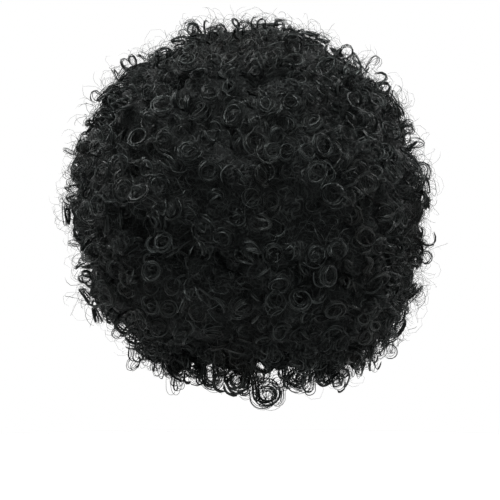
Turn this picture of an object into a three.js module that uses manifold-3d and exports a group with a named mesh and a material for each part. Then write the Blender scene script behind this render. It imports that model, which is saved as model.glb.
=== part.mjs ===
// An afro wig: a thin cap that takes the head, and a ball of curled hair round it.
//
// The hair is a thick wall of locks. Each lock grows from a small root on the cap to a wide
// ringlet with a dimple, and its neighbours are fused to it along their whole length. The wall
// is made in six parts, as the hair is sewn on: crown, fringe, two sides, back and nape.
//
// Millimetres, +Z up, the face towards -Y and the wearer's left at +X. The origin is where the
// crown of the head touches the inside of the cap.

import * as THREE from "three";
import { ConvexHull } from "three/addons/math/ConvexHull.js";
import { mergeVertices } from "three/addons/utils/BufferGeometryUtils.js";
import Module from "manifold-3d";

const { degToRad, radToDeg, lerp, smoothstep } = THREE.MathUtils;

// The head that the wig fits
const HEAD_WIDTH = 156;
const HEAD_LENGTH = 194;
const CROWN_RISE = 88; // from the skull's centre up to the crown
const NECK_WIDTH = 130; // the free way that the hair leaves for the neck

// The cap
const CAP_WALL = 1.8;
const HEM_EXTRA = 0.9; // how much thicker the wall is at its edge
const CAP_SLICES = 40;
const CAP_RINGS = 8;

// The hair, measured outwards from the cap to the tips of the ringlets
const ROOT_GAP = 0.4; // between the cap and the roots
const SIDE_LENGTH = 75;
const BACK_LENGTH = 74;
const FRONT_LENGTH = 53;
const TOP_LENGTH = 70;
const HAIR_DROP = 155; // how far the hair hangs below the skull's centre
const BALL_DROP = 178; // how far the ball would reach there if its underside weren't cut flat
const UNDERSIDE_SHARPNESS = 9; // how sharply the ball turns into its flat underside
const LEAN_SHARE = 0.07; // how far the hair leans to the wearer's right, as a share of its drop
const HAIRLINE_SHARE = 0.42; // how much of its length the hair has at the face opening
const HAIRLINE_ANGLE = 24; // degrees from there to its full length

// The locks
const LOCK_SPACING = 27.5;
const LOCK_JITTER = 0.32; // how far a lock strays from an even pattern, as a share of the spacing
const LOCK_DEPTH = 10; // from a ringlet's rim down to the crease round it
const DIMPLE_DEPTH = 7;
const RIM_SHARE = 0.62; // where the rim lies between a ringlet's middle and its crease
const TIP_VARIATION = 3; // how much one tip stands above or below its neighbours
const TIP_TILT = 0.25; // the steepest slope of a rim
const CLUMP_RISE = 3.5; // the broad lumps of the outline
const CLUMP_SPACING = 85;
const PART_GAP = 0.6; // between two parts of the hair
const LEAST_HAIR = 9; // the thinnest that the wall of hair gets
const EVENING_ROUNDS = 3;

// The face opening: how far it reaches to each side of the face at a height seen from the
// skull's centre, in degrees. The first row is the round way for the neck.
const FACE_OPENING = [
  { elevation: -59, reach: 180 },
  { elevation: -56, reach: 60 },
  { elevation: -40, reach: 46 },
  { elevation: -10, reach: 40 },
  { elevation: 2, reach: 27 },
  { elevation: 8, reach: 0 },
];
const THINNED_ABOVE = -52; // the elevation down to which the hair gets shorter towards the face
const LOWEST_HAIR = -62; // no lock reaches lower than this elevation

// The edge of the cap, from the forehead round to the nape, in degrees
const CAP_EDGE = [
  { facing: 0, elevation: 17 },
  { facing: 40, elevation: 11 },
  { facing: 62, elevation: -14 }, // the tab in front of the ear
  { facing: 92, elevation: 2 }, // over the ear
  { facing: 120, elevation: -22 },
  { facing: 180, elevation: -34 },
];

// Where one part of the hair ends and the next begins, in degrees
const CROWN_ABOVE = 40;
const FRINGE_REACH = 55;
const BACK_BEYOND = 125;
const NAPE_BELOW = -18;

// Curls that hang past the hair at the nape: each drops straight and ends in an open ring. Each
// turn is counted in degrees from the middle of the nape to the wearer's left. Drop and ring are
// shares of CURL_RING: the length of the straight stretch, and the ring's radius. Hand is the way
// that it winds.
const CURL_RING = 10;
const HANGING_CURLS = [
  { turn: 44, drop: 1.5, ring: 0.8, wound: 0.8, hand: 1 },
  { turn: 31, drop: 1.9, ring: 0.85, wound: 0.75, hand: -1 },
  { turn: 19, drop: 2.4, ring: 0.9, wound: 0.6, hand: 1 },
  { turn: 5, drop: 2.3, ring: 0.75, wound: 0.8, hand: -1 },
  { turn: -10, drop: 2.9, ring: 1.1, wound: 0.85, hand: 1 },
  { turn: -28, drop: 2.2, ring: 0.9, wound: 0.7, hand: -1 },
  { turn: -45, drop: 1.7, ring: 0.8, wound: 0.8, hand: 1 },
];
const CURL_ELEVATION = -54; // where they leave the hair, in degrees
const CURL_THICKNESS = 6;
const CURL_SIDES = 5;
const CURL_STEPS = 14;
const CURL_ANCHOR = 4; // how deep they start below the creases between the locks
const CURL_LEAN = 4; // how far a curl's end stands further out than its start

const HAIR_BLACK = 0x0d0e0e;
const CAP_BLACK = 0x141416;

const skullCentre = new THREE.Vector3(0, 0, -CROWN_RISE);
const hairHalfWidth = HEAD_WIDTH / 2 + CAP_WALL + SIDE_LENGTH;
const hairBackReach = HEAD_LENGTH / 2 + CAP_WALL + BACK_LENGTH;
const hairFrontReach = HEAD_LENGTH / 2 + CAP_WALL + FRONT_LENGTH;
const hairRise = CROWN_RISE + CAP_WALL + TOP_LENGTH;
const rootSag = LOCK_SPACING ** 2 / (4 * HEAD_WIDTH); // a root is flat, so its middle dips

const wasm = await Module();
wasm.setup();

// A stream of numbers from 0 to 1 that is the same each time
function numberStream(seed) {
  let state = seed;
  return () => {
    state = (state * 1664525 + 1013904223) % 4294967296;
    return state / 4294967296;
  };
}

// The value of a table's second column where its first column has the value given
function fromTable(table, column, value, wanted) {
  const next = table.findIndex((row) => row[column] >= value);
  if (next === 0) return table[0][wanted];
  if (next < 0) return table.at(-1)[wanted];
  const [low, high] = [table[next - 1], table[next]];
  return lerp(low[wanted], high[wanted], (value - low[column]) / (high[column] - low[column]));
}

// Directions from the skull's centre: how far up one points, and how far round from the face
const elevationOf = (direction) => radToDeg(Math.asin(THREE.MathUtils.clamp(direction.z, -1, 1)));
const facingOf = (direction) => radToDeg(Math.atan2(Math.abs(direction.x), -direction.y));

function directionAt(facing, elevation) {
  const [round, up] = [degToRad(facing), degToRad(elevation)];
  return new THREE.Vector3(
    Math.sin(round) * Math.cos(up),
    -Math.cos(round) * Math.cos(up),
    Math.sin(up),
  );
}

const pointAt = (direction, radius) => skullCentre.clone().addScaledVector(direction, radius);

// The head's skin, as far as the cap goes
function headRadius(direction) {
  return 1 / Math.hypot(
    direction.x / (HEAD_WIDTH / 2),
    direction.y / (HEAD_LENGTH / 2),
    direction.z / CROWN_RISE,
  );
}

// The inside of the hair: the cap above, and the free way for the neck below
function rootRadius(direction) {
  const flat = Math.hypot(direction.x, direction.y);
  const neck = direction.z < 0 ? NECK_WIDTH / 2 / flat : 0;
  return Math.max(headRadius(direction), neck) + CAP_WALL + ROOT_GAP + rootSag;
}

// The ball that the tips of the hair lie on, with its underside cut flat and leaning to one side
function ballRadius(direction) {
  const reach = direction.y < 0 ? hairFrontReach : hairBackReach;
  const height = direction.z > 0 ? hairRise : BALL_DROP;
  const drop = Math.max(-direction.z, 0);
  const upright = direction.x + LEAN_SHARE * drop;
  const ball = Math.hypot(upright / hairHalfWidth, direction.y / reach, direction.z / height);
  const underside = drop / HAIR_DROP;
  return (ball ** UNDERSIDE_SHARPNESS + underside ** UNDERSIDE_SHARPNESS) **
    (-1 / UNDERSIDE_SHARPNESS);
}

// Points along the edge of the face opening on the wearer's left, for measuring how near it is
function hairlinePoints() {
  const lowest = THINNED_ABOVE;
  const highest = FACE_OPENING.at(-1).elevation;
  const count = 24;
  return Array.from({ length: count + 1 }, (_, i) => {
    const elevation = lerp(lowest, highest, i / count);
    return directionAt(fromTable(FACE_OPENING, "elevation", elevation, "reach"), elevation);
  });
}
const hairline = hairlinePoints();

function angleToHairline(direction) {
  const leftward = new THREE.Vector3(Math.abs(direction.x), direction.y, direction.z);
  return radToDeg(Math.min(...hairline.map((point) => point.angleTo(leftward))));
}

// Broad lumps, as the hair gathers into clumps
function clumpRise(direction) {
  const waves = (2 * Math.PI * hairHalfWidth) / CLUMP_SPACING;
  return CLUMP_RISE * (
    Math.sin(waves * direction.x + 1.3) * Math.cos(waves * direction.y) +
    Math.sin(waves * direction.z + 0.6)
  ) / 2;
}

// The tips of the hair: the ball with its lumps, cut shorter towards the face
function tipRadius(direction) {
  const root = rootRadius(direction);
  const grown = smoothstep(angleToHairline(direction), 0, HAIRLINE_ANGLE);
  const length = (ballRadius(direction) - root) * lerp(HAIRLINE_SHARE, 1, grown);
  return root + Math.max(length + clumpRise(direction), LEAST_HAIR);
}

function isOpen(direction) {
  const reach = fromTable(FACE_OPENING, "elevation", elevationOf(direction), "reach");
  return facingOf(direction) < reach;
}

// The part of the hair that a lock belongs to, or null in the openings
function partOf(direction) {
  if (isOpen(direction)) return null;
  const [elevation, facing] = [elevationOf(direction), facingOf(direction)];
  if (elevation > CROWN_ABOVE) return "crown_hair";
  if (facing < FRINGE_REACH && elevation > 0) return "fringe_hair";
  if (facing < BACK_BEYOND) return direction.x > 0 ? "left_hair" : "right_hair";
  return elevation < NAPE_BELOW ? "nape_hair" : "back_hair";
}

// A direction raised to the lowest hair, if it points lower
function clearOfNeck(direction) {
  if (elevationOf(direction) > LOWEST_HAIR) return direction;
  const flat = new THREE.Vector2(direction.x, direction.y).setLength(
    Math.cos(degToRad(LOWEST_HAIR)),
  );
  return new THREE.Vector3(flat.x, flat.y, Math.sin(degToRad(LOWEST_HAIR)));
}

// Each site's cell: the corners that it shares with its neighbours, in turn. Three cells meet in
// a corner.
function cellsRound(sites) {
  const cells = new Map(sites.map((site) => [site, { site, corners: [] }]));
  for (const face of new ConvexHull().setFromPoints(sites).faces) {
    const meeting = [0, 1, 2].map((i) => face.getEdge(i).head().point);
    const corner = { direction: face.normal.clone().normalize(), sites: meeting };
    for (const site of meeting) cells.get(site).corners.push(corner);
  }
  for (const cell of cells.values()) sortRound(cell);
  return [...cells.values()];
}

// Puts a cell's corners in order, anticlockwise as seen from outside
function sortRound(cell) {
  const across = new THREE.Vector3(0, 0, 1).cross(cell.site).normalize();
  const along = cell.site.clone().cross(across);
  const angle = ({ direction }) => Math.atan2(direction.dot(along), direction.dot(across));
  cell.corners.sort((a, b) => angle(a) - angle(b));
}

// The sites of the locks: an even spiral over the ball, strayed and then evened out again
function lockSites() {
  const area = (Math.sqrt(3) / 2) * LOCK_SPACING ** 2;
  const count = Math.round((4 * Math.PI * hairHalfWidth ** 2) / area);
  const stray = LOCK_JITTER * (LOCK_SPACING / hairHalfWidth);
  const goldenAngle = Math.PI * (3 - Math.sqrt(5));
  const random = numberStream(11);
  let sites = Array.from({ length: count }, (_, i) => {
    const z = 1 - (2 * i + 1) / count;
    const flat = Math.sqrt(1 - z * z);
    const site = new THREE.Vector3(
      flat * Math.cos(i * goldenAngle),
      flat * Math.sin(i * goldenAngle),
      z,
    );
    const step = new THREE.Vector3(random() - 0.5, random() - 0.5, random() - 0.5);
    return site.addScaledVector(step, 2 * stray).normalize();
  });
  for (let round = 0; round < EVENING_ROUNDS; round += 1) {
    sites = cellsRound(sites).map((cell) => {
      const middle = new THREE.Vector3();
      for (const corner of cell.corners) middle.add(corner.direction);
      return middle.normalize();
    });
  }
  return sites;
}

// The locks themselves: a cell with its part, its own height and the slope of its rim
function makeLocks() {
  const random = numberStream(29);
  return cellsRound(lockSites()).map((cell) => ({
    ...cell,
    part: partOf(cell.site),
    rise: TIP_VARIATION * (2 * random() - 1),
    tilt: new THREE.Vector3(random() - 0.5, random() - 0.5, random() - 0.5).multiplyScalar(
      2 * TIP_TILT,
    ),
  }));
}

// A list of vertices and faces that grows piece by piece
class Skin {
  vertices = [];
  faces = [];

  vertex(point) {
    return this.vertices.push(point.x, point.y, point.z) / 3 - 1;
  }

  fan(ring) {
    for (let i = 1; i < ring.length - 1; i += 1) this.faces.push(ring[0], ring[i], ring[i + 1]);
  }

  geometry() {
    const made = new THREE.BufferGeometry();
    made.setAttribute("position", new THREE.Float32BufferAttribute(this.vertices, 3));
    made.setIndex(this.faces);
    return made;
  }
}

// A corner as one part of the hair sees it. At the part's border it is drawn in by half the gap:
// towards its own lock where that is one, or away from the other part's lock where they are two.
function drawnIn({ direction, sites }, locks) {
  if (locks.length === 3) return clearOfNeck(direction);
  const own = locks.map((lock) => lock.site);
  const inwards = own.length === 1
    ? own[0].clone().sub(direction)
    : direction.clone().sub(sites.find((site) => !own.includes(site)));
  const shift = PART_GAP / 2 / rootRadius(direction);
  return clearOfNeck(direction.clone().addScaledVector(inwards.normalize(), shift).normalize());
}

// The ringlet at a lock's tip: a crease round it, a rim and a dimple
function addRinglet(skin, lock, creases) {
  const { site, corners } = lock;
  const rims = corners.map((corner) => {
    const outermost = clearOfNeck(corner.direction);
    const direction = site.clone().lerp(outermost, RIM_SHARE).normalize();
    const slope = lock.tilt.dot(direction.clone().sub(site)) * hairHalfWidth;
    return skin.vertex(pointAt(direction, tipRadius(direction) + lock.rise + slope));
  });
  const dimple = skin.vertex(pointAt(site, tipRadius(site) + lock.rise - DIMPLE_DEPTH));
  for (let i = 0; i < corners.length; i += 1) {
    const next = (i + 1) % corners.length;
    skin.fan([creases[i], creases[next], rims[next]]);
    skin.fan([creases[i], rims[next], rims[i]]);
    skin.fan([rims[i], rims[next], dimple]);
  }
}

// One part of the hair: its locks side by side, closed by walls along its border
function hairPart(name, locks) {
  const skin = new Skin();
  const own = locks.filter((lock) => lock.part === name);
  const ownAt = new Map();
  for (const lock of own) {
    for (const corner of lock.corners) ownAt.set(corner, [...(ownAt.get(corner) ?? []), lock]);
  }
  const ends = new Map();
  for (const [corner, cornerLocks] of ownAt) {
    const direction = drawnIn(corner, cornerLocks);
    const root = rootRadius(direction);
    const crease = Math.max(tipRadius(direction) - LOCK_DEPTH, root + LEAST_HAIR - CAP_WALL);
    ends.set(corner, {
      crease: skin.vertex(pointAt(direction, crease)),
      root: skin.vertex(pointAt(direction, root)),
    });
  }
  for (const lock of own) {
    const found = lock.corners.map((corner) => ends.get(corner));
    addRinglet(skin, lock, found.map((end) => end.crease));
    skin.fan(found.map((end) => end.root).reverse());
    lock.corners.forEach((corner, i) => {
      const next = lock.corners[(i + 1) % lock.corners.length];
      const shared = ownAt.get(corner).filter((other) => ownAt.get(next).includes(other));
      if (shared.length > 1) return;
      const [here, there] = [ends.get(corner), ends.get(next)];
      skin.fan([here.crease, here.root, there.root, there.crease]);
    });
  }
  return skin.geometry();
}

// The middle line of a hanging curl: straight down, and then round its ring
class HangingCurl extends THREE.Curve {
  constructor(row) {
    super();
    this.drop = CURL_RING * row.drop;
    this.radius = CURL_RING * row.ring;
    this.length = this.drop + 2 * Math.PI * this.radius * row.wound;
    this.outwards = directionAt(180 - row.turn, 0);
    this.across = new THREE.Vector3(0, 0, 1).cross(this.outwards).multiplyScalar(row.hand);
    const direction = directionAt(180 - row.turn, CURL_ELEVATION);
    this.start = pointAt(direction, tipRadius(direction) - LOCK_DEPTH - CURL_ANCHOR);
    this.start.addScaledVector(this.across, -this.radius);
  }

  getPoint(share, target = new THREE.Vector3()) {
    const dropped = Math.min(this.length * share, this.drop);
    const angle = (this.length * share - dropped) / this.radius;
    return target.copy(this.start)
      .addScaledVector(this.across, this.radius * (1 - Math.cos(angle)))
      .addScaledVector(this.outwards, CURL_LEAN * share)
      .add(new THREE.Vector3(0, 0, -dropped - this.radius * Math.sin(angle)));
  }
}

function hangingCurl(row) {
  const section = new THREE.Shape(
    Array.from({ length: CURL_SIDES }, (_, i) => {
      const angle = (2 * Math.PI * i) / CURL_SIDES;
      return new THREE.Vector2(Math.cos(angle), Math.sin(angle)).multiplyScalar(CURL_THICKNESS / 2);
    }),
  );
  return new THREE.ExtrudeGeometry(section, {
    steps: CURL_STEPS,
    extrudePath: new HangingCurl(row),
    bevelEnabled: false,
  });
}

function toSolid(geometry) {
  const bare = geometry.clone().deleteAttribute("normal").deleteAttribute("uv");
  const merged = mergeVertices(bare);
  return new wasm.Manifold(
    new wasm.Mesh({
      numProp: 3,
      vertProperties: merged.attributes.position.array,
      triVerts: new Uint32Array(merged.index.array),
    }),
  );
}

function toGeometry(solid) {
  const { vertProperties, triVerts } = solid.getMesh();
  const made = new THREE.BufferGeometry();
  made.setAttribute("position", new THREE.BufferAttribute(vertProperties, 3));
  made.setIndex(new THREE.BufferAttribute(triVerts, 1));
  return made;
}

// The nape's locks with the curls that hang from them, as one solid
function napeHair(locks) {
  const curls = HANGING_CURLS.map((row) => toSolid(hangingCurl(row)));
  const fused = curls.reduce((hair, curl) => hair.add(curl), toSolid(hairPart("nape_hair", locks)));
  return toGeometry(fused);
}

// The cap: rings from the crown down to its edge, outside and inside, with a thicker hem
function capGeometry() {
  const skin = new Skin();
  const rows = Array.from({ length: CAP_RINGS }, () => ({ outer: [], inner: [] }));
  for (let slice = 0; slice < CAP_SLICES; slice += 1) {
    const round = (360 * slice) / CAP_SLICES;
    const facing = round > 180 ? 360 - round : round;
    const edge = fromTable(CAP_EDGE, "facing", facing, "elevation");
    rows.forEach((row, i) => {
      const direction = directionAt(round, lerp(90, edge, (i + 1) / CAP_RINGS));
      const skinRadius = headRadius(direction);
      const hem = i === CAP_RINGS - 1 ? HEM_EXTRA : 0;
      row.outer.push(skin.vertex(pointAt(direction, skinRadius + CAP_WALL)));
      row.inner.push(skin.vertex(pointAt(direction, skinRadius - hem)));
    });
  }
  const outerTop = skin.vertex(pointAt(new THREE.Vector3(0, 0, 1), CROWN_RISE + CAP_WALL));
  const innerTop = skin.vertex(pointAt(new THREE.Vector3(0, 0, 1), CROWN_RISE));
  for (let slice = 0; slice < CAP_SLICES; slice += 1) {
    const next = (slice + 1) % CAP_SLICES;
    skin.fan([outerTop, rows[0].outer[slice], rows[0].outer[next]]);
    skin.fan([innerTop, rows[0].inner[next], rows[0].inner[slice]]);
    for (let i = 1; i < CAP_RINGS; i += 1) {
      const [upper, lower] = [rows[i - 1], rows[i]];
      skin.fan([upper.outer[slice], lower.outer[slice], lower.outer[next], upper.outer[next]]);
      skin.fan([upper.inner[slice], upper.inner[next], lower.inner[next], lower.inner[slice]]);
    }
    const rim = rows.at(-1);
    skin.fan([rim.outer[slice], rim.inner[slice], rim.inner[next], rim.outer[next]]);
  }
  return skin.geometry();
}

const hairMaterial = new THREE.MeshStandardMaterial({
  color: HAIR_BLACK,
  roughness: 0.45,
  metalness: 0,
  flatShading: true,
});
const capMaterial = new THREE.MeshStandardMaterial({
  color: CAP_BLACK,
  roughness: 0.9,
  metalness: 0,
});

function piece(name, geometry, material) {
  geometry.computeVertexNormals();
  const mesh = new THREE.Mesh(geometry, material);
  mesh.name = name;
  return mesh;
}

function makeWig() {
  const wig = new THREE.Group();
  wig.name = "afro_wig";
  const locks = makeLocks();
  wig.add(piece("wig_cap", capGeometry(), capMaterial));
  for (const name of ["crown_hair", "fringe_hair", "left_hair", "right_hair", "back_hair"]) {
    wig.add(piece(name, hairPart(name, locks), hairMaterial));
  }
  wig.add(piece("nape_hair", napeHair(locks), hairMaterial));
  return wig;
}

export default makeWig();
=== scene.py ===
# %% [markdown]
# # An afro wig
#
# The frame is the wig as it was built in CAD: a thin cap and six parts of hair, each one faceted
# solid of the right size. This notebook gives them their looks. The cap becomes elastic net, and
# each part of the hair becomes a dark mass of fibres with thousands of single curled fibres on it.

# %% Load the frame
import math

import bpy
import numpy as np
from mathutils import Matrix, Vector, noise
from mathutils.bvhtree import BVHTree


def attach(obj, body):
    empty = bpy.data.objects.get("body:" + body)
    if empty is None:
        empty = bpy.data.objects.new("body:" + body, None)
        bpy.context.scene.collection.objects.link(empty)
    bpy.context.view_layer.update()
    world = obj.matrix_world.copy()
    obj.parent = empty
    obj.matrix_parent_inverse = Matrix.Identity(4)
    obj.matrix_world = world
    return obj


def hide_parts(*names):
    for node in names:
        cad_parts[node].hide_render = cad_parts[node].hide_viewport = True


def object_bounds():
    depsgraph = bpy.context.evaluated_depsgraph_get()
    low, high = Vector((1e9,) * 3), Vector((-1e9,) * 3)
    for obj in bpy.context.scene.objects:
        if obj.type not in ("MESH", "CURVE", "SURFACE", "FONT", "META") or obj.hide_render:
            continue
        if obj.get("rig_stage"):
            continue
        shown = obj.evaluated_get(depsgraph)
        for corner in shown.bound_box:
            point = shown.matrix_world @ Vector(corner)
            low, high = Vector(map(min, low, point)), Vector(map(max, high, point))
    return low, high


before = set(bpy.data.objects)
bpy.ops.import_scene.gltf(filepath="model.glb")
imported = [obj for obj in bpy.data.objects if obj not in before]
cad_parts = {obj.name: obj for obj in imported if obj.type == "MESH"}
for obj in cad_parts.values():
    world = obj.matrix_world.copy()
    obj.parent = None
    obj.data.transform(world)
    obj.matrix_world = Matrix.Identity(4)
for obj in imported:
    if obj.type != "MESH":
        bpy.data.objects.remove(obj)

MM = 0.001
HAIR_PARTS = ["crown_hair", "fringe_hair", "left_hair", "right_hair", "back_hair", "nape_hair"]
cad_low, cad_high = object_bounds()
print("CAD box in mm:", [round(side / MM) for side in cad_high - cad_low])

# %% [markdown]
# ## The camera
#
# The photo was taken from behind, level with the nape, from so far away that the lines hardly
# converge. Where the middle of the ball of hair lies in the picture, and how many millimetres a
# pixel is there, place a level camera. A long lens does what a shift would do, only more simply.

# %% Camera
PHOTO_SIDE_PX = 500
MM_PER_PX = 0.853
BALL_MIDDLE_PX = (247, 205)
BALL_MIDDLE = Vector((0, 0, -86 * MM))
CAMERA_DISTANCE = 1.6
SENSOR_WIDTH = 36

pixel = MM_PER_PX * MM
sideways = (PHOTO_SIDE_PX / 2 - BALL_MIDDLE_PX[0]) * pixel
lower = (PHOTO_SIDE_PX / 2 - BALL_MIDDLE_PX[1]) * pixel
bpy.ops.object.camera_add(
    location=BALL_MIDDLE + Vector((-sideways, CAMERA_DISTANCE, -lower)),
    rotation=(math.radians(90), 0, math.radians(180)),
)
camera = bpy.context.object
camera.data.sensor_width = SENSOR_WIDTH
camera.data.lens = SENSOR_WIDTH * CAMERA_DISTANCE / (PHOTO_SIDE_PX * pixel)
bpy.context.scene.camera = camera
print(f"camera: {camera.data.lens:.0f} mm lens, {CAMERA_DISTANCE} m away")

# %% [markdown]
# ## Colours and nodes
#
# Two helpers serve every finish. Colours are written as they look on a screen, in sRGB, and
# Blender calculates with linear light, so one function turns them. The other adds a node with its
# settings and its links, which keeps a material readable from top to bottom.

# %% Colour and node helpers
def linear(hex_colour):
    """A colour written as #rrggbb, as linear light with an alpha of 1."""
    channels = [int(hex_colour[i:i + 2], 16) / 255 for i in (1, 3, 5)]
    return [c / 12.92 if c <= 0.04045 else ((c + 0.055) / 1.055) ** 2.4 for c in channels] + [1]


def add_node(tree, kind, settings=None, values=None, links=None):
    """A new node with its settings, the values of its sockets and what is linked to them."""
    node = tree.nodes.new(kind)
    for name, setting in (settings or {}).items():
        setattr(node, name, setting)
    for socket, value in (values or {}).items():
        node.inputs[socket].default_value = value
    for socket, source in (links or {}).items():
        tree.links.new(source, node.inputs[socket])
    return node


def new_material(name):
    """An empty material with its node tree and its Principled BSDF."""
    material = bpy.data.materials.new(name)
    material.use_nodes = True
    return material, material.node_tree, material.node_tree.nodes["Principled BSDF"]


# The two colour sockets and the result of a Mix node that mixes colours
MIX_A, MIX_B, MIX_RESULT = 6, 7, 2

# %% [markdown]
# ## Floor and light
#
# Black hair shows its form by the sheen on its fibres alone. So one big soft lamp stands above and
# to the left of the camera, with a weaker one on the right and two behind the wig, and the room
# gives a low light from all round. The camera sees the room as white paper. The floor is a plain
# matt disc, so far below the lowest curl that the shadow on it stays out of the picture. Its pale
# grey sends less light up to the underside of the hair than white paper would.

# %% Floor and light
FLOOR_BELOW = 130 * MM
FLOOR_RADIUS = 1.1
PAPER_ROUGHNESS = 0.9
ROOM_LIGHT = 0.16

bpy.ops.mesh.primitive_circle_add(
    vertices=96, radius=FLOOR_RADIUS, fill_type="NGON", location=(0, 0, cad_low.z - FLOOR_BELOW)
)
floor = bpy.context.object
floor.name = "floor"
paper, paper_tree, paper_shader = new_material("pale_grey_paper")
paper_shader.inputs["Base Color"].default_value = linear("#cccccc")
paper_shader.inputs["Roughness"].default_value = PAPER_ROUGHNESS
floor.data.materials.append(paper)
floor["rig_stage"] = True

room = bpy.data.worlds.new("white_room")
room.use_nodes = True
background = room.node_tree.nodes["Background"]
background.inputs["Color"].default_value = linear("#ffffff")
sight = add_node(room.node_tree, "ShaderNodeLightPath")
brightness = add_node(
    room.node_tree, "ShaderNodeMapRange", values={"To Min": ROOM_LIGHT, "To Max": 1},
    links={"Value": sight.outputs["Is Camera Ray"]},
)
room.node_tree.links.new(brightness.outputs["Result"], background.inputs["Strength"])
bpy.context.scene.world = room
bpy.context.scene.view_settings.view_transform = "Standard"


def add_lamp(name, place, side, power):
    """A square soft lamp that points at the ball of hair."""
    bpy.ops.object.light_add(type="AREA", location=place)
    lamp = bpy.context.object
    lamp.name = name
    lamp.rotation_euler = (BALL_MIDDLE - Vector(place)).to_track_quat("-Z", "Y").to_euler()
    lamp.data.size = side
    lamp.data.energy = power


add_lamp("key_lamp", (0.35, 0.7, 1.6), side=1.1, power=71)
add_lamp("fill_lamp", (-0.8, 1.5, 0.4), side=1.4, power=17)
add_lamp("left_rim_lamp", (1.4, -0.8, 1.0), side=1.0, power=30)
add_lamp("right_rim_lamp", (-1.4, -0.8, 1.0), side=1.0, power=30)

# %% [markdown]
# ## Finish of the fibres
#
# The hair is modacrylic, extruded as smooth solid fibres and dyed black in the melt. To the eye
# that is a neutral black with a narrow, soft sheen along each fibre. Every fibre carries three
# numbers on its points: its tone, how many millimetres sideways from its middle line a point lies,
# and its gloss. On a flat band the second one draws the fibres that lie side by side. Along the
# middle of each drawn fibre the colour is painted lighter and between them darker, as painted
# highlight and painted shade, the more so the lighter the fibre's random tone.

# %% Fibre finish
FIBRE_BLACK = "#0a0b0b"
FIBRE_HIGHLIGHT_GREY = "#292d2d"
FIBRE_BROWN = "#1c1815"
FIBRE_SHEEN = "#eefaf6"
FIBRE_PITCH_MM = 1.1
TONE_PATCH = 70 * MM
FIBRE_IOR = 1.52
FIBRE_SPECULAR = (0.08, 0.48)
FIBRE_ROUGHNESS = (0.3, 0.52)
FIBRE_RELIEF = 0.4 * MM
PHASE_SPREAD = 40

fibre_finish, tree, shader = new_material("modacrylic_fibre")
strand = add_node(tree, "ShaderNodeAttribute", {"attribute_name": "strand"})
share = add_node(tree, "ShaderNodeSeparateXYZ", links={0: strand.outputs["Vector"]})
phase = add_node(
    tree, "ShaderNodeMath", {"operation": "MULTIPLY"}, {1: PHASE_SPREAD}, {0: share.outputs["X"]}
)
turns = add_node(
    tree, "ShaderNodeMath", {"operation": "MULTIPLY_ADD"}, {1: 2 * math.pi / FIBRE_PITCH_MM},
    {0: share.outputs["Y"], 2: phase.outputs["Value"]},
)
wave = add_node(tree, "ShaderNodeMath", {"operation": "SINE"}, links={0: turns.outputs["Value"]})
ridge = add_node(
    tree, "ShaderNodeMapRange", values={"From Min": -0.5}, links={"Value": wave.outputs["Value"]},
)
# Painted highlight and shade: the ridge of each drawn fibre, times its random tone, mixes the black
# towards a lighter grey.
lit = add_node(
    tree, "ShaderNodeMath", {"operation": "MULTIPLY"},
    links={0: ridge.outputs["Result"], 1: share.outputs["X"]},
)
place = add_node(tree, "ShaderNodeTexCoord")
patches = add_node(
    tree, "ShaderNodeTexNoise", values={"Scale": 1 / TONE_PATCH, "Detail": 2},
    links={"Vector": place.outputs["Object"]},
)
warmth = add_node(
    tree, "ShaderNodeMapRange", values={"From Min": 0.5, "From Max": 0.75, "To Max": 0.5},
    links={"Value": patches.outputs["Fac"]},
)
grey = add_node(
    tree, "ShaderNodeMix", {"data_type": "RGBA"},
    {MIX_A: linear(FIBRE_BLACK), MIX_B: linear(FIBRE_HIGHLIGHT_GREY)}, {0: lit.outputs["Value"]},
)
tone = add_node(
    tree, "ShaderNodeMix", {"data_type": "RGBA"}, {MIX_B: linear(FIBRE_BROWN)},
    {0: warmth.outputs["Result"], MIX_A: grey.outputs[MIX_RESULT]},
)
gloss = add_node(
    tree, "ShaderNodeMapRange",
    values={"To Min": FIBRE_ROUGHNESS[0], "To Max": FIBRE_ROUGHNESS[1]},
    links={"Value": share.outputs["Z"]},
)
relief = add_node(
    tree, "ShaderNodeBump", values={"Strength": 1, "Distance": FIBRE_RELIEF},
    links={"Height": ridge.outputs["Result"]},
)
glint = add_node(
    tree, "ShaderNodeMapRange",
    values={"To Min": FIBRE_SPECULAR[0], "To Max": FIBRE_SPECULAR[1]},
    links={"Value": ridge.outputs["Result"]},
)
tree.links.new(tone.outputs[MIX_RESULT], shader.inputs["Base Color"])
tree.links.new(glint.outputs["Result"], shader.inputs["Specular IOR Level"])
tree.links.new(gloss.outputs["Result"], shader.inputs["Roughness"])
tree.links.new(relief.outputs["Normal"], shader.inputs["Normal"])
shader.inputs["IOR"].default_value = FIBRE_IOR
shader.inputs["Specular Tint"].default_value = linear(FIBRE_SHEEN)
print("finish:", fibre_finish.name)

# %% [markdown]
# ## Finish of the dense hair
#
# Deeper in, the fibres lie so close that only here and there a single one catches the light. Such a
# fibre is drawn where a smooth noise passes through one of its levels: that gives thin curved lines
# that never cross. Four noises of different sizes on top of each other give lines that do, as curled
# fibres do. The lines also stand up in the bump, and their colour is painted a lighter grey than the
# black between them, as a painted highlight for the light that such a fibre catches.

# %% Dense hair finish
CURL_SIZES = [9 * MM, 12 * MM, 16 * MM, 21 * MM]
LEVELS = 5
LINE_SHARE = 0.26
MASS_BLACK = "#090a0a"
MASS_HIGHLIGHT_GREY = "#161a19"
MASS_SPECULAR = (0.02, 0.16)
MASS_ROUGHNESS = 0.55
MASS_RELIEF = 0.5 * MM

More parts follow.
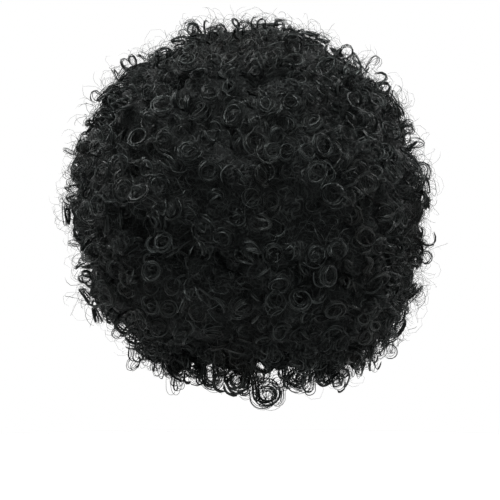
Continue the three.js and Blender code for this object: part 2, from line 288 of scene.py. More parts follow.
mass_finish, tree, shader = new_material("modacrylic_mass")
place = add_node(tree, "ShaderNodeTexCoord")
hairs = None
for layer, size in enumerate(CURL_SIZES):
    shifted = add_node(
        tree, "ShaderNodeVectorMath", {"operation": "ADD"}, {1: [layer] * 3},
        {0: place.outputs["Object"]},
    )
    hills = add_node(
        tree, "ShaderNodeTexNoise", values={"Scale": 1 / size, "Detail": 1},
        links={"Vector": shifted.outputs["Vector"]},
    )
    climb = add_node(
        tree, "ShaderNodeMath", {"operation": "MULTIPLY"}, {1: 2 * math.pi * LEVELS},
        {0: hills.outputs["Fac"]},
    )
    wave = add_node(
        tree, "ShaderNodeMath", {"operation": "SINE"}, links={0: climb.outputs["Value"]},
    )
    off_level = add_node(
        tree, "ShaderNodeMath", {"operation": "ABSOLUTE"}, links={0: wave.outputs["Value"]},
    )
    line = add_node(
        tree, "ShaderNodeMapRange", values={"From Max": LINE_SHARE, "To Min": 1, "To Max": 0},
        links={"Value": off_level.outputs["Value"]},
    ).outputs["Result"]
    hairs = line if hairs is None else add_node(
        tree, "ShaderNodeMath", {"operation": "MAXIMUM"}, links={0: hairs, 1: line},
    ).outputs["Value"]
# Painted highlight: the drawn lines are painted a lighter grey than the black between them.
grey = add_node(
    tree, "ShaderNodeMix", {"data_type": "RGBA"},
    {MIX_A: linear(MASS_BLACK), MIX_B: linear(MASS_HIGHLIGHT_GREY)}, {0: hairs},
)
relief = add_node(
    tree, "ShaderNodeBump", values={"Strength": 0.5, "Distance": MASS_RELIEF},
    links={"Height": hairs},
)
glint = add_node(
    tree, "ShaderNodeMapRange", values={"To Min": MASS_SPECULAR[0], "To Max": MASS_SPECULAR[1]},
    links={"Value": hairs},
)
tree.links.new(grey.outputs[MIX_RESULT], shader.inputs["Base Color"])
tree.links.new(glint.outputs["Result"], shader.inputs["Specular IOR Level"])
tree.links.new(relief.outputs["Normal"], shader.inputs["Normal"])
shader.inputs["Roughness"].default_value = MASS_ROUGHNESS
shader.inputs["IOR"].default_value = FIBRE_IOR
print("finish:", mass_finish.name)

# %% [markdown]
# ## Finish of the cap
#
# The cap is knitted nylon and elastane, an open net with rows of machine-sewn weft that carry the
# hair. It is matt and a shade lighter than the hair. The rows run round the head 9 mm apart, and
# the net between them has holes of 1.6 mm.

# %% Cap finish
WEFT_PITCH = 9 * MM
NET_PITCH = 1.6 * MM
THREAD_SHARE = 0.14
ROW_EDGE = (0.62, 0.8)
CAP_BLACK = "#0b0b0c"
CAP_GREY = "#212124"
CAP_RELIEF = 0.5 * MM
CAP_ROUGHNESS = 0.85
CAP_SPECULAR = 0.3

cap_finish, tree, shader = new_material("nylon_net")
place = add_node(tree, "ShaderNodeTexCoord")
rows = add_node(
    tree, "ShaderNodeTexWave", {"bands_direction": "Z"},
    {"Scale": math.pi / 10 / WEFT_PITCH, "Distortion": 0.6, "Detail Scale": 2},
    {"Vector": place.outputs["Object"]},
)
net = add_node(
    tree, "ShaderNodeTexVoronoi", {"feature": "DISTANCE_TO_EDGE"}, {"Scale": 1 / NET_PITCH},
    {"Vector": place.outputs["Object"]},
)
thread = add_node(
    tree, "ShaderNodeMapRange", values={"From Max": THREAD_SHARE, "To Min": 1, "To Max": 0},
    links={"Value": net.outputs["Distance"]},
)
sewn = add_node(
    tree, "ShaderNodeMapRange", values={"From Min": ROW_EDGE[0], "From Max": ROW_EDGE[1]},
    links={"Value": rows.outputs["Fac"]},
)
cloth = add_node(
    tree, "ShaderNodeMath", {"operation": "MAXIMUM"},
    links={0: thread.outputs["Result"], 1: sewn.outputs["Result"]},
)
shade = add_node(
    tree, "ShaderNodeMix", {"data_type": "RGBA"},
    {MIX_A: linear(CAP_BLACK), MIX_B: linear(CAP_GREY)}, {0: cloth.outputs["Value"]},
)
relief = add_node(
    tree, "ShaderNodeBump", values={"Strength": 0.7, "Distance": CAP_RELIEF},
    links={"Height": cloth.outputs["Value"]},
)
tree.links.new(shade.outputs[MIX_RESULT], shader.inputs["Base Color"])
tree.links.new(relief.outputs["Normal"], shader.inputs["Normal"])
shader.inputs["Roughness"].default_value = CAP_ROUGHNESS
shader.inputs["Specular IOR Level"].default_value = CAP_SPECULAR
print("finish:", cap_finish.name)

# %% [markdown]
# ## The cap
#
# The CAD cap is right in form and only too coarse. So it is copied, its loose triangles are merged
# and turned back into quads, and a Subdivision Surface rounds it. The hem stays the thicker edge
# that it is in CAD.

# %% Cap
def copied_from_cad(node, name):
    """A merged copy of a CAD node, as an object of its own that replaces it."""
    bpy.ops.object.select_all(action="DESELECT")
    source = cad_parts[node]
    source.select_set(True)
    bpy.context.view_layer.objects.active = source
    bpy.ops.object.duplicate()
    copy = bpy.context.object
    for key in [key for key in copy.keys() if key.startswith("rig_")]:
        del copy[key]
    copy.name = name
    copy.data.name = name
    copy.data.materials.clear()
    bpy.ops.object.mode_set(mode="EDIT")
    bpy.ops.mesh.select_all(action="SELECT")
    bpy.ops.mesh.remove_doubles(threshold=0.001 * MM)
    bpy.ops.object.mode_set(mode="OBJECT")
    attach(copy, "root")
    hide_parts(node)
    return copy


def triangles(piece):
    """How many triangles a piece has."""
    piece.data.calc_loop_triangles()
    return len(piece.data.loop_triangles)


cap = copied_from_cad("wig_cap", "elastic_cap")
bpy.ops.object.mode_set(mode="EDIT")
bpy.ops.mesh.select_all(action="SELECT")
bpy.ops.mesh.tris_convert_to_quads()
bpy.ops.object.mode_set(mode="OBJECT")
rounding = cap.modifiers.new("rounding", "SUBSURF")
rounding.levels = 1
rounding.render_levels = 1
bpy.ops.object.modifier_apply(modifier=rounding.name)
bpy.ops.object.shade_smooth()
cap.data.materials.append(cap_finish)
print("cap:", triangles(cap), "triangles")

# %% [markdown]
# ## Which surfaces are open
#
# Curls belong wherever the hair meets the air: on the ball, on the sides of the face opening and
# round the neck. They don't belong between two parts of the hair or against the cap. A ray tells
# the two apart: from an open surface it gets away, and from a covered one it soon hits a solid.

# %% Rays
SKULL_MIDDLE = Vector((0, 0, -88 * MM))
RAY_START = 1 * MM
OPEN_REACH = 26 * MM
OUTSIDE = 0.4


def corners_of(mesh):
    """The corners of a mesh's triangles, as an array of triangles by corner by axis."""
    mesh.calc_loop_triangles()
    points = np.empty(3 * len(mesh.vertices), np.float32)
    corners = np.empty(3 * len(mesh.loop_triangles), np.int32)
    mesh.vertices.foreach_get("co", points)
    mesh.loop_triangles.foreach_get("vertices", corners)
    return points.reshape(-1, 3)[corners].reshape(-1, 3, 3).astype(float)


def ray_target(surfaces):
    """Something that rays can meet, made of the corners of one or more meshes."""
    corners = np.concatenate(surfaces).reshape(-1, 3)
    return BVHTree.FromPolygons(
        corners.tolist(), np.arange(len(corners)).reshape(-1, 3).tolist()
    )


surfaces = {
    node: corners_of(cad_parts[node].data) for node in ["wig_cap", *HAIR_PARTS]
}
solids = ray_target(list(surfaces.values()))


def is_open(point, direction):
    """Whether a ray from just above a point gets clear of the solids."""
    return solids.ray_cast(point + direction * RAY_START, direction, OPEN_REACH)[0] is None


def depth_of(point, outwards):
    """How far below the tips of the hair a point lies."""
    hit = solids.ray_cast(SKULL_MIDDLE + outwards * OUTSIDE, -outwards, OUTSIDE)[0]
    return max((hit - point).dot(outwards), 0) if hit else 0


print("triangles that rays can meet:", sum(len(corners) for corners in surfaces.values()))

# %% [markdown]
# ## The dense hair
#
# Each part's CAD solid already has locks, rims and dimples. Remeshing it into even voxels and
# smoothing it turns its facets into soft knobs. Its open surface then sinks, so that the single
# fibres that come later stand proud of it and throw shadows on it, and its walls towards the next
# part, which a ray soon meets, move out and close the seam. How far it sinks follows a smooth
# noise, which gathers the hair into clumps with deep gaps between them. Another round of smoothing
# and a better choice of diagonals then undo the small folds. What hangs below the nape is cut off
# first, as that is all single curls.

# %% Dense hair
VOXEL = 7 * MM
ROUNDS_BEFORE_SINKING = 2
ROUNDS_AFTER_SINKING = 1
SINK = 8 * MM
WALL_SINK = 5 * MM
SEAM_OVERLAP = 4.5 * MM
SEAM_REACH = 8 * MM
CLUMP_PATCH = 30 * MM
CLUMP_DEPTH = 12 * MM
HIGHEST_CLUMP = 0.4
HANGING_BELOW = -230 * MM
OUTER_FACING = 0.6
INNER_FACING = -0.5


def clump_height(place):
    """How far a clump of hair stands up or lies down at a place."""
    return CLUMP_DEPTH * min(noise.noise(place / CLUMP_PATCH), HIGHEST_CLUMP)


def cut_off_below(piece, height):
    """Cuts a piece off at a height and closes it there."""
    bpy.ops.object.select_all(action="DESELECT")
    piece.select_set(True)
    bpy.context.view_layer.objects.active = piece
    bpy.ops.object.mode_set(mode="EDIT")
    bpy.ops.mesh.select_all(action="SELECT")
    bpy.ops.mesh.bisect(
        plane_co=(0, 0, height), plane_no=(0, 0, 1), use_fill=True, clear_inner=True
    )
    bpy.ops.object.mode_set(mode="OBJECT")


def sunk(point, normal, other_parts):
    """Where a vertex of the dense hair goes."""
    outwards = (point - SKULL_MIDDLE).normalized()
    sink = SINK - clump_height(point) - depth_of(point, outwards) / 2
    moved = point - outwards * max(sink, 0)
    facing = normal.dot(outwards)
    if facing > OUTER_FACING:
        return moved
    inner = facing < INNER_FACING
    sideways = normal if inner else (normal - outwards * facing).normalized()
    if is_open(point, sideways):
        return moved - sideways * WALL_SINK
    at_seam = not inner and other_parts.ray_cast(point, sideways, SEAM_REACH)[0]
    return moved + sideways * SEAM_OVERLAP if at_seam else moved


def smooth(piece, rounds):
    """Evens out a mesh, which also undoes small folds."""
    smoothing = piece.modifiers.new("smoothing", "SMOOTH")
    smoothing.iterations = rounds
    bpy.ops.object.modifier_apply(modifier=smoothing.name)


def sink_open_surface(piece, other_parts):
    """Moves the vertices that face the air inwards, and closes the seams with the other parts."""
    vertices = piece.data.vertices
    points = np.empty((len(vertices), 3), np.float32)
    normals = np.empty((len(vertices), 3), np.float32)
    vertices.foreach_get("co", points.ravel())
    vertices.foreach_get("normal", normals.ravel())
    places = [
        sunk(Vector(point), Vector(normal), other_parts) for point, normal in zip(points, normals)
    ]
    vertices.foreach_set("co", np.array(places, np.float32).ravel())
    piece.data.update()


masses = {}
for node in HAIR_PARTS:
    mass = copied_from_cad(node, node.replace("hair", "mass"))
    if node == "nape_hair":
        cut_off_below(mass, HANGING_BELOW)
    mass.data.remesh_voxel_size = VOXEL
    bpy.ops.object.voxel_remesh()
    smooth(mass, ROUNDS_BEFORE_SINKING)
    sink_open_surface(mass, ray_target([surfaces[part] for part in HAIR_PARTS if part != node]))
    smooth(mass, ROUNDS_AFTER_SINKING)
    halves = mass.modifiers.new("halves", "TRIANGULATE")
    halves.quad_method = "BEAUTY"
    bpy.ops.object.modifier_apply(modifier=halves.name)
    bpy.ops.object.shade_smooth()
    mass.data.materials.append(mass_finish)
    masses[node] = mass
dense_hair = ray_target([corners_of(mass.data) for mass in masses.values()])
print("dense hair:", {name: triangles(mass) for name, mass in masses.items()})

# %% [markdown]
# ## Where the curls grow
#
# Points are thrown at random onto the open surfaces, and each is kept only if it is far enough from
# the ones kept before it. That gives the even but patternless spread that hair has. Both the
# random numbers and the noise have a fixed seed, so each run gives the same hair.

# %% Curl sites
CURL_SPACING = 16 * MM
WALL_SPACING = 22 * MM
THROWS_PER_SQUARE_METRE = 90000
FLAT_WALL = 0.1
SEED = 7

rng = np.random.default_rng(SEED)
noise.seed_set(SEED)


def throw_points(corners):
    """Random points on triangles, as many on a square millimetre anywhere, with their normals."""
    a, b, c = corners[:, 0], corners[:, 1], corners[:, 2]
    across = np.cross(b - a, c - a)
    area = np.linalg.norm(across, axis=1) / 2
    count = int(area.sum() * THROWS_PER_SQUARE_METRE)
    chosen = rng.choice(len(corners), count, p=area / area.sum())
    root = np.sqrt(rng.random((count, 1)))
    split = rng.random((count, 1))
    points = (1 - root) * a[chosen] + root * (1 - split) * b[chosen] + root * split * c[chosen]
    return points, (across / (2 * area[:, None]))[chosen]


def site_at(node, point, normal):
    """A place for a curl with the direction that it faces, or None on a covered surface."""
    point, normal = Vector(point), Vector(normal)
    outwards = (point - SKULL_MIDDLE).normalized()
    if point.z < HANGING_BELOW:
        return None
    if normal.dot(outwards) > FLAT_WALL:
        return {"node": node, "place": point, "faces": outwards, "kind": "outer"}
    if not is_open(point, normal):
        return None
    kind = "wall" if normal.dot(outwards) > -FLAT_WALL else "inner"
    return {"node": node, "place": point, "faces": normal, "kind": kind}


def spread_out(sites, spacing):
    """The sites that keep their distance from those kept before them."""
    kept, grid = [], {}
    for site in sites:
        cell = tuple(math.floor(value / spacing) for value in site["place"])
        near = [
            other
            for i in (-1, 0, 1) for j in (-1, 0, 1) for k in (-1, 0, 1)
            for other in grid.get((cell[0] + i, cell[1] + j, cell[2] + k), [])
        ]
        if all((other["place"] - site["place"]).length > spacing for other in near):
            grid.setdefault(cell, []).append(site)
            kept.append(site)
    return kept


sites = []
for node in HAIR_PARTS:
    for point, normal in zip(*throw_points(surfaces[node])):
        site = site_at(node, point, normal)
        if site:
            sites.append(site)
rng.shuffle(sites)
outer_sites = spread_out([site for site in sites if site["kind"] == "outer"], CURL_SPACING)
wall_sites = spread_out([site for site in sites if site["kind"] != "outer"], WALL_SPACING)
print("sites:", len(outer_sites), "on the ball and", len(wall_sites), "in the openings")

# %% [markdown]
# ## One fibre
#
# Every fibre, whether it winds in a ring, hangs as a corkscrew or strays as frizz, runs straight
# for a while, its lead, and then winds: round a middle, in two directions across an axis, with a
# radius that may grow or shrink and a rise along the axis. So one small class holds them all, and
# NumPy works out thousands at once. Fibres that lie side by side are one flat band, on which the
# finish draws them. A mesh of joined three-sided tubes stays light, and each tube has closed ends.

# %% Fibres
TUBE_SIDES = 3
END_TAPER = 0.12
END_WIDTH = 0.25
WOBBLE = 0.5 * MM
QUICK_WOBBLE, SLOW_WOBBLE = 1.3, 0.6
LEAD_BOW = 0.008 / MM
TONE_BIAS = 1.8


class Fibres:
    """Fibres that become one mesh. Those of a batch have the same number of steps."""

    def __init__(self):
        self.batches = {}

    def add(self, steps, middle, across, along, radius, start, sweep, width,
            grow=0, rise=0, lead=0, flat=1, tilt=0):
        """across and along span the ring. A flat fibre is a band, tilted out of the ring's plane."""
        row = [*middle, *across, *along, radius, start, sweep, width, grow, rise, lead, flat, tilt]
        self.batches.setdefault(steps, []).append(row)

    def paths(self, rows, steps):
        """The middle lines of fibres, and the axis of each."""
        middle, across, along = (rows[:, None, i:i + 3] for i in (0, 3, 6))
        radius, start, sweep, _, grow, rise, lead = (rows[:, 9 + i, None] for i in range(7))
        t = np.linspace(0, 1, steps + 1)[None, :]
        travelled = t * (lead + radius * np.abs(sweep))
        straight = np.minimum(travelled, lead) - lead
        angle = start + np.sign(sweep) * (travelled - lead - straight) / radius
        reach = radius * (1 + grow * t)
        axis = np.cross(across, along)
        axis /= np.linalg.norm(axis, axis=2, keepdims=True)
        points = middle + (rise * t)[..., None] * axis
        points = points + (reach * np.cos(angle))[..., None] * across
        points = points + (reach * np.sin(angle))[..., None] * along
        ahead = np.cos(start)[..., None] * along - np.sin(start)[..., None] * across
        outer = np.cos(start)[..., None] * across + np.sin(start)[..., None] * along
        points = points + (straight * np.sign(sweep))[..., None] * ahead
        points = points + (LEAD_BOW * straight ** 2)[..., None] * outer
        phases = rng.random((2, len(rows), 1, 3)) * 2 * math.pi
        beats = 2 * math.pi * t[..., None]
        quick = np.sin(QUICK_WOBBLE * beats + phases[0])
        slow = np.sin(SLOW_WOBBLE * beats + phases[1])
        points = points + WOBBLE * quick * slow
        return points, np.broadcast_to(axis, points.shape)

    def tubes(self, steps):
        """The vertices, side faces and end faces of a batch, with each vertex's strand values."""
        rows = np.array(self.batches[steps])
        points, axis = self.paths(rows, steps)
        count = len(points)
        t = np.linspace(0, 1, steps + 1)
        taper = np.clip(np.minimum(t, 1 - t) / END_TAPER, END_WIDTH, 1)
        width = rows[:, 12, None, None, None] * taper[None, :, None, None]
        flat, tilt = rows[:, 16, None, None, None], rows[:, 17, None, None]
        forward = np.gradient(points, axis=1)
        forward /= np.linalg.norm(forward, axis=2, keepdims=True)
        side = np.cross(forward, axis)
        side /= np.linalg.norm(side, axis=2, keepdims=True)
        up = np.cross(side, forward)
        wide = (np.cos(tilt) * side + np.sin(tilt) * up)[:, :, None, :]
        thick = (np.cos(tilt) * up - np.sin(tilt) * side)[:, :, None, :]
        turn = 2 * math.pi * np.arange(TUBE_SIDES) / TUBE_SIDES
        cos, sin = np.cos(turn)[:, None], np.sin(turn)[:, None]
        vertices = points[:, :, None, :] + width / 2 * (cos * wide + flat * sin * thick)
        index = np.arange(count * (steps + 1) * TUBE_SIDES).reshape(count, steps + 1, TUBE_SIDES)
        here, ahead = index[:, :-1], index[:, 1:]
        quads = np.stack(
            [here, np.roll(here, -1, axis=2), np.roll(ahead, -1, axis=2), ahead], axis=-1
        ).reshape(-1, 4)
        ends = np.concatenate([index[:, 0, ::-1], index[:, -1]])
        tone, gloss = rng.random((2, count, 1, 1))
        sideways = width[..., 0] * np.cos(turn) / 2 / MM
        strand = np.stack(
            [np.broadcast_to(value, index.shape) for value in (tone ** TONE_BIAS, sideways, gloss)],
            axis=-1,
        )
        return vertices.reshape(-1, 3), quads, ends, strand.reshape(-1, 3)

    def piece(self, name):
        """All batches as one mesh object."""
        parts = [self.tubes(steps) for steps in sorted(self.batches)]
        offsets = np.cumsum([0] + [len(part[0]) for part in parts])
        vertices = np.concatenate([part[0] for part in parts])
        quads = np.concatenate([part[1] + offset for part, offset in zip(parts, offsets)])
        ends = np.concatenate([part[2] + offset for part, offset in zip(parts, offsets)])
        strand = np.concatenate([part[3] for part in parts])
        corners = np.concatenate([quads.ravel(), ends.ravel()])
        sizes = np.concatenate([np.full(len(quads), 4), np.full(len(ends), TUBE_SIDES)])
        mesh = bpy.data.meshes.new(name)
        mesh.vertices.add(len(vertices))
        mesh.vertices.foreach_set("co", vertices.ravel().astype(np.float32))
        mesh.loops.add(len(corners))
        mesh.loops.foreach_set("vertex_index", corners.astype(np.int32))
        mesh.polygons.add(len(sizes))
        mesh.polygons.foreach_set("loop_start", np.cumsum([0, *sizes[:-1]]).astype(np.int32))
        mesh.update(calc_edges=True)
        mesh.shade_smooth()
        values = mesh.attributes.new("strand", "FLOAT_VECTOR", "POINT")
        values.data.foreach_set("vector", strand.ravel().astype(np.float32))
        made = bpy.data.objects.new(name, mesh)
        bpy.context.scene.collection.objects.link(made)
        return made


# %% [markdown]
# ## Three ways to curl
#
# Seen end on, a ringlet is a ring of fibres that wind into each other. Seen from the side it is a
# corkscrew. Between them lie single fibres that have come loose, in open arcs. Neighbours lean the
# same way, which a smooth noise takes care of, and that gathers them into clumps.

# %% Kinds of curl
RINGLET_STEPS = 12
CORKSCREW_STEPS = 14
ARC_STEPS = 5
BED_STEPS = 7
BAND_WIDTH = (1.2, 2.8)
SINGLE_WIDTH = (0.3, 0.6)
BAND_FLATNESS = (0.15, 0.3)


def spread(low, high):
    """A random number between two limits."""
    return rng.uniform(low, high)


def any_direction():
    """A random unit vector."""
    return Vector(rng.normal(size=3)).normalized()


def any_hand():
    """Which way round a fibre winds."""
    return rng.choice((-1, 1))


def any_turn():
    """Where on its ring a fibre starts, in radians."""
    return spread(0, 7)


def ring_axes(axis):
    """Two directions across an axis, turned at random round it."""
    across = axis.cross(any_direction()).normalized()
    return across, axis.cross(across)


def add_ringlet(fibres, place, axis, bands, singles):
    """Fibres that wind in a ring round the axis, like a watch spring."""
    across, along = ring_axes(axis)
    along = along * spread(0.78, 1)
    radius = spread(6.5, 10.5) * MM
    hand, start = any_hand(), any_turn()
    for _ in range(bands):
        fibres.add(
            RINGLET_STEPS, place + any_direction() * spread(0, 1.2) * MM, across, along,
            radius * spread(0.72, 1.02), start + spread(-1, 1), hand * 2 * math.pi * spread(0.8, 1.3),
            spread(*BAND_WIDTH) * MM, grow=spread(-0.25, 0.08), rise=spread(-4, 4) * MM,
            flat=spread(*BAND_FLATNESS), tilt=spread(0.1, 1.2),
        )
    for _ in range(singles):
        fibres.add(
            RINGLET_STEPS, place + any_direction() * spread(0, 2) * MM, across, along,
            radius * spread(0.6, 1.15), any_turn(), hand * 2 * math.pi * spread(0.7, 1.5),
            spread(*SINGLE_WIDTH) * MM, grow=spread(-0.3, 0.15), rise=spread(-10, 4) * MM,
        )


def add_corkscrew(fibres, place, axis, bands, singles):
    """Fibres that wind along the axis."""
    across, along = ring_axes(axis)
    radius = spread(4.5, 7.5) * MM
    hand, start = any_hand(), any_turn()
    sweep = hand * 2 * math.pi * spread(1.3, 2)
    rise = hand * spread(12, 22) * MM
    foot = place - axis * rise / 2
    for i in range(bands + singles):
        band = i < bands
        fibres.add(
            CORKSCREW_STEPS, foot + any_direction() * spread(0, 1.2) * MM, across, along,
            radius * spread(0.85, 1.08), start + spread(-0.3, 0.3), sweep,
            spread(*(BAND_WIDTH if band else SINGLE_WIDTH)) * MM, grow=spread(-0.2, 0.2),
            rise=rise, flat=spread(*BAND_FLATNESS) if band else 1, tilt=spread(0.9, 1.6),
        )


def add_arcs(fibres, site, count, nearness, width):
    """Single fibres that have come loose, each in an open arc of its own."""
    for _ in range(count):
        axis = (site["faces"] + 1.2 * any_direction()).normalized()
        across, along = ring_axes(axis)
        middle = site["place"] + any_direction() * spread(*nearness) * MM
        fibres.add(
            ARC_STEPS, middle, across, along, spread(3.5, 9.5) * MM, any_turn(),
            any_hand() * spread(1.8, 4.2), spread(*width) * MM, grow=spread(-0.3, 0.3),
            rise=spread(-4, 4) * MM,
        )


def add_bed(fibres, site, count):
    """Wide flat bands that lie on the dense hair and cover it."""
    for _ in range(count):
        across, along = ring_axes((site["faces"] + 0.4 * any_direction()).normalized())
        middle = site["place"] + ring_axes(site["faces"])[0] * spread(0, 10) * MM
        fibres.add(
            BED_STEPS, middle - site["faces"] * spread(1, 4) * MM, across, along,
            spread(4, 10) * MM, any_turn(), any_hand() * spread(2, 4), spread(2, 4) * MM,
            grow=spread(-0.2, 0.2), rise=spread(-3, 3) * MM, flat=0.12, tilt=spread(-0.4, 0.4),
        )


# %% [markdown]
# ## Curls on every part
#
# A site on the ball gets a ringlet or a corkscrew, sunk a little or raised a little with its clump,
# but never so high that it loses touch with the dense hair. The deepest sites get loose fibres
# alone, so that dark gaps stay between the clumps. On the walls of the openings the curls lie flat,
# so that the way for the face and the neck stays free.

# %% Curls
LEAN_PATCH = 45 * MM
LEAN = 0.75
GAP_BELOW = -3.6 * MM
RINGLET_SHARE = 0.72
OUTER_SINK = 3.5 * MM
MOST_ABOVE = 6 * MM
SEARCH = 40 * MM


def leaning(site, amount):
    """The direction that a curl faces, leaned over with its neighbours."""
    lean = noise.noise_vector(site["place"] / LEAN_PATCH)
    return (site["faces"] + amount * (lean + 0.6 * any_direction())).normalized()


def settled(site):
    """A copy of a site at the height that its clump has there, in touch with the dense hair."""
    if site["kind"] == "outer":
        height = clump_height(site["place"]) - OUTER_SINK
    else:
        height = -WALL_SINK
    place = site["place"] + site["faces"] * height
    ground = dense_hair.ray_cast(place + site["faces"] * SEARCH, -site["faces"], 2 * SEARCH)[0]
    above = (place - ground).dot(site["faces"]) if ground else 0
    return {**site, "place": place - site["faces"] * max(above - MOST_ABOVE, 0)}


def add_curl(fibres, site, bands, singles):
    """A ringlet or a corkscrew."""
    if rng.random() < RINGLET_SHARE:
        add_ringlet(fibres, site["place"], leaning(site, LEAN), bands, singles)
        return
    tangent = ring_axes(site["faces"])[0]
    axis = (tangent + site["faces"] * spread(-0.2, 0.5) + Vector((0, 0, -0.3))).normalized()
    add_corkscrew(fibres, site["place"], axis, bands - 1, singles)


ringlets = {node: Fibres() for node in HAIR_PARTS}
loose_curls = {node: Fibres() for node in HAIR_PARTS}
for site in outer_sites:
    low = settled(site)
    curls, loose = ringlets[site["node"]], loose_curls[site["node"]]
    if clump_height(site["place"]) > GAP_BELOW:
        add_curl(curls, low, bands=3, singles=5)
    add_bed(curls, low, count=1)
    add_arcs(loose, low, count=9, nearness=(0, 9), width=(0.2, 0.5))
for site in wall_sites:
    low = settled(site)
    curls, loose = ringlets[site["node"]], loose_curls[site["node"]]
    add_curl(curls, low, bands=3, singles=1)
    add_bed(curls, low, count=4)
    add_arcs(loose, low, count=2, nearness=(0, 5), width=(0.25, 0.5))

# %% [markdown]
# ## Frizz
#
# Round the outline of the wig stands a thin haze of stray fibres. Each starts in the hair, runs
# outwards and curls over. Here and there a few fibres stray together and stand out as a loop.

# %% Frizz
FRIZZ_PER_SITE = 6
FRIZZ_STEPS = 5
STRAY_LOOPS = 160
LOOP_STEPS = 10


def add_stray(fibres, site, steps, count, lead, radius, sweep, width):
    """Fibres that run outwards together and then curl over."""
    outwards = (site["faces"] + 0.8 * any_direction()).normalized()
    across = ring_axes(outwards)[0]
    start = site["place"] - site["faces"] * spread(1, 8) * MM
    start += ring_axes(site["faces"])[0] * spread(0, 9) * MM
    for _ in range(count):
        reach = lead * spread(0.85, 1)
        fibres.add(
            steps, start - across * radius + outwards * reach, across, outwards,
            radius * spread(0.8, 1), 0, sweep * spread(0.85, 1), spread(*width) * MM,
            grow=spread(-0.4, 0.2), rise=spread(-5, 5) * MM, lead=reach,
        )


for site in outer_sites:
    for _ in range(rng.poisson(FRIZZ_PER_SITE)):
        add_stray(
            loose_curls[site["node"]], site, FRIZZ_STEPS, count=1, lead=spread(0, 10) * MM,
            radius=spread(3, 12) * MM, sweep=spread(1.2, 4), width=(0.13, 0.24),
        )
for site in outer_sites[:STRAY_LOOPS]:
    add_stray(
        loose_curls[site["node"]], site, LOOP_STEPS, count=4, lead=spread(5, 11) * MM,
        radius=spread(4, 7) * MM, sweep=spread(3.5, 6), width=(0.35, 0.8),
    )

# %% [markdown]
# ## Curls that hang at the nape
#
# A few curls hang past the rest at the nape, each straight down and then round in an open ring.
# They are where the CAD solid has them: each turn is counted in degrees from the middle of the nape
# to the wearer's left, and drop and ring are shares of the ring's size. Two smaller curls go with
# each, one on either side, and most of them don't hang as low.

# %% Hanging curls
CURL_RING = 10 * MM
CURL_LEAN = 4 * MM
CURL_ELEVATION = math.radians(-54)
CURL_START = 14 * MM
HANGING_CURLS = [
    {"turn": 44, "drop": 1.5, "ring": 0.8, "wound": 0.8, "hand": 1},
    {"turn": 31, "drop": 1.9, "ring": 0.85, "wound": 0.75, "hand": -1},
    {"turn": 19, "drop": 2.4, "ring": 0.9, "wound": 0.6, "hand": 1},
    {"turn": 5, "drop": 2.3, "ring": 0.75, "wound": 0.8, "hand": -1},
    {"turn": -10, "drop": 2.9, "ring": 1.1, "wound": 0.85, "hand": 1},
    {"turn": -28, "drop": 2.2, "ring": 0.9, "wound": 0.7, "hand": -1},
    {"turn": -45, "drop": 1.7, "ring": 0.8, "wound": 0.8, "hand": 1},
]
HANGING_STEPS = 20
COMPANION_STEPS = 14
COMPANION_ASIDE = 8 * MM


def add_hook(fibres, steps, middle, outwards, hand, radius, drop, wound, bands, singles):
    """Fibres that run straight down and then round a ring, each in a plane of its own."""
    for i in range(bands + singles):
        band = i < bands
        across = Vector((0, 0, hand)).cross(outwards + 0.4 * any_direction()).normalized()
        down = Vector((0, 0, -1)) * spread(0.8, 1)
        fibres.add(
            steps, middle + any_direction() * spread(0, 5) * MM, -across, down,
            radius * spread(0.5, 1.15), 0, 2 * math.pi * wound * spread(0.7, 1.35),
            (spread(0.9, 2) if band else spread(0.25, 0.6)) * MM, grow=spread(-0.35, 0.1),
            rise=hand * CURL_LEAN * spread(-1, 2), lead=drop * spread(0.8, 1.1),
            flat=spread(0.3, 0.5) if band else 1, tilt=spread(0, 1.5),
        )


def tips_towards(direction):
    """Where the tips of the hair are in a direction."""
    return solids.ray_cast(SKULL_MIDDLE + direction * OUTSIDE, -direction, OUTSIDE)[0]


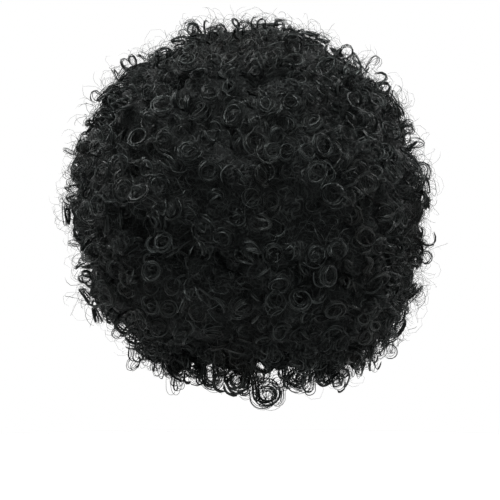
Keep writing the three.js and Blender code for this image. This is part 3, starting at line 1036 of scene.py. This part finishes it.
for row in HANGING_CURLS:
    turn = math.radians(row["turn"])
    outwards = Vector((math.sin(turn), math.cos(turn), 0))
    slanted = outwards * math.cos(CURL_ELEVATION) + Vector((0, 0, math.sin(CURL_ELEVATION)))
    drop, radius = row["drop"] * CURL_RING, row["ring"] * CURL_RING
    start = tips_towards(slanted) - slanted * CURL_START
    add_hook(
        ringlets["nape_hair"], HANGING_STEPS, start - Vector((0, 0, drop)), outwards, row["hand"],
        radius, drop, row["wound"], bands=8, singles=22,
    )
    for side in (-1, 1):
        short = drop * spread(0.7, 1.15)
        aside = Vector((0, 0, 1)).cross(outwards) * side * COMPANION_ASIDE
        add_hook(
            ringlets["nape_hair"], COMPANION_STEPS, start + aside - Vector((0, 0, short)),
            (outwards + 0.5 * any_direction()).normalized(), any_hand(),
            radius * spread(0.6, 0.9), short, spread(0.5, 1), bands=2, singles=6,
        )
print("curls that hang:", 3 * len(HANGING_CURLS))

# %% [markdown]
# ## The lower edge of the hair
#
# All along the lower edge smaller curls droop a little past the dense hair and make its line
# uneven.

# %% Drooping curls
DROOPING_CURLS = 60
DROOP_BELOW = -196 * MM
DROOP_START = 4 * MM

low_sites = [site for site in outer_sites if site["place"].z < DROOP_BELOW]
for site in low_sites[:DROOPING_CURLS]:
    outwards = Vector((site["faces"].x, site["faces"].y, 0)).normalized()
    drop = spread(6, 15) * MM
    add_hook(
        ringlets[site["node"]], COMPANION_STEPS,
        site["place"] - outwards * DROOP_START - Vector((0, 0, drop - DROOP_START)),
        (outwards + 0.6 * any_direction()).normalized(), any_hand(), spread(4.5, 7.5) * MM, drop,
        spread(0.4, 0.9), bands=2, singles=5,
    )
print("curls that droop:", min(DROOPING_CURLS, len(low_sites)), "of", len(low_sites))

# %% [markdown]
# ## The fibres as pieces
#
# Each part of the hair gets two meshes of fibres, so that none grows too large to print or send.

# %% Fibre pieces
total = sum(triangles(mass) for mass in masses.values()) + triangles(cap)
for node in HAIR_PARTS:
    for kind, fibres in (("ringlets", ringlets[node]), ("loose_curls", loose_curls[node])):
        piece = fibres.piece(node.replace("hair", kind))
        piece.data.materials.append(fibre_finish)
        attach(piece, "root")
        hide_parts(node)
        total += triangles(piece)
        print(piece.name, triangles(piece), "triangles")
print("triangles in all:", total)

# %% Size
low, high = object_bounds()
print("larger than CAD by, in mm:", [round((h - c) / MM, 1) for h, c in zip(high, cad_high)],
      [round((c - l) / MM, 1) for l, c in zip(low, cad_low)])
